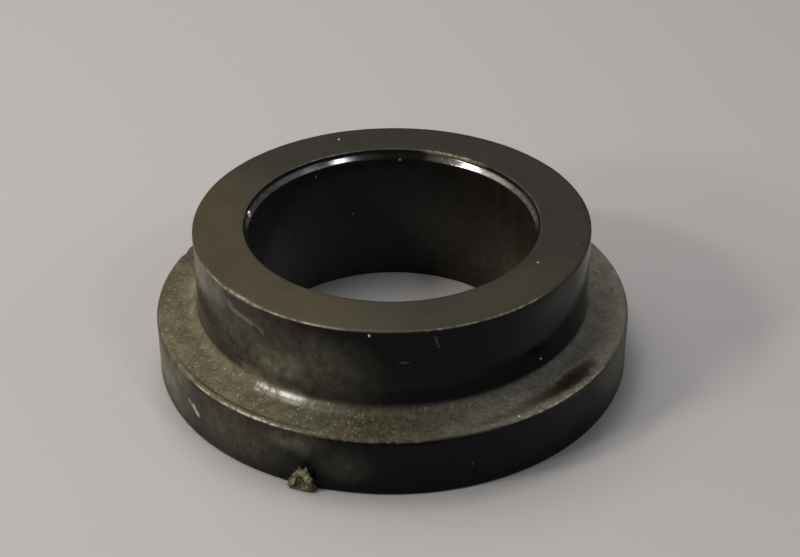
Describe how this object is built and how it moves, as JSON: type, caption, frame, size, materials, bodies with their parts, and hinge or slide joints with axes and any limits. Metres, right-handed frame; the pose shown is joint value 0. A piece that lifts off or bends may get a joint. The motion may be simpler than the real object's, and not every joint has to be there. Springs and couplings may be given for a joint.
{
  "type": "bushing",
  "caption": "Short flanged sleeve bushing of black moulded plastic, with a stepped lead-in at the mouth of its bore.",
  "frame": {"origin": "on the axis of the bore, in the flange's resting face", "axes": "+Z along the bore's axis towards the nose, -Y towards the side that carries the gate stub"},
  "size_m": [0.0303, 0.0303, 0.0097],
  "materials": {
    "black_plastic": "satin black moulded plastic, dusty and finely rough on the flange, glossy in the bore"
  },
  "bodies": {
    "root": {"bushing": "black_plastic"}
  },
  "joints": []
}
